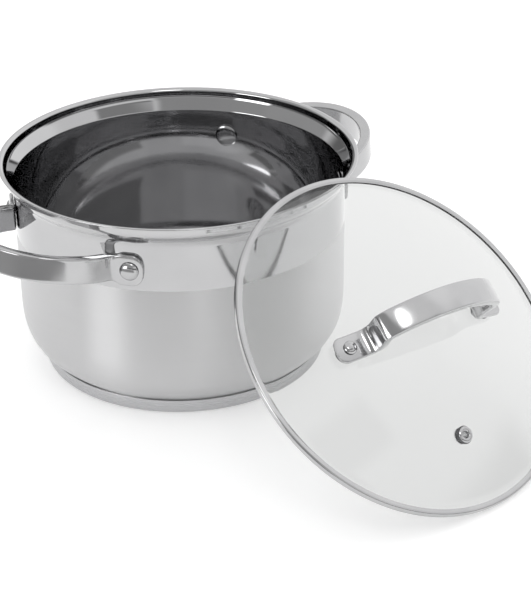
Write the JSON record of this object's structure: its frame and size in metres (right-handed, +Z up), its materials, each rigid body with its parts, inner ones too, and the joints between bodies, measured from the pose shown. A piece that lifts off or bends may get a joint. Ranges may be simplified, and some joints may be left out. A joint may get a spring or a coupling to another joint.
{
  "type": "saucepan with glass lid",
  "caption": "Stainless steel cooking pot with two riveted side handles and a steel-rimmed domed glass lid that leans against its lip; the lid lifts away.",
  "frame": {"origin": "centre of the pot's underside, on the surface it stands on", "axes": "+Z up; +X along the line of the two side handles, from the near handle to the far one; the lid leans on the -Y side"},
  "size_m": [0.3408, 0.4299, 0.1633],
  "materials": {
    "polished_steel": "mirror-polished upper band and fine satin lower wall",
    "satin_steel": "satin, circular brushing",
    "handle_steel": "polished",
    "rivet_steel": "polished",
    "band_steel": "polished, rolled",
    "core_aluminium": "bare rolled",
    "lid_glass": "clear tempered glass",
    "dark_silicone": "matt silicone"
  },
  "bodies": {
    "pot": {"pot_body": "polished_steel", "base_core": "core_aluminium", "base_cap": "satin_steel", "near_handle": "handle_steel", "far_handle": "handle_steel", "near_handle_rivet_left": "rivet_steel", "near_handle_rivet_right": "rivet_steel", "far_handle_rivet_left": "rivet_steel", "far_handle_rivet_right": "rivet_steel"},
    "lid": {"lid_glass": "lid_glass", "lid_rim_band": "band_steel", "lid_handle": "handle_steel", "lid_screw_left": "rivet_steel", "lid_screw_right": "rivet_steel", "silicone_spacer_left": "dark_silicone", "silicone_spacer_right": "dark_silicone", "silicone_washer_left": "dark_silicone", "silicone_washer_right": "dark_silicone", "steel_washer_left": "satin_steel", "steel_washer_right": "satin_steel", "lid_nut_left": "satin_steel", "lid_nut_right": "satin_steel", "vent_eyelet": "rivet_steel", "vent_gasket": "dark_silicone", "vent_lower_ring": "satin_steel"}
  },
  "joints": [
    {"name": "lid_lift", "type": "slide", "parent": "pot", "child": "lid", "axis": [0, 0, 1], "range_m": [0, 0.25]}
  ]
}
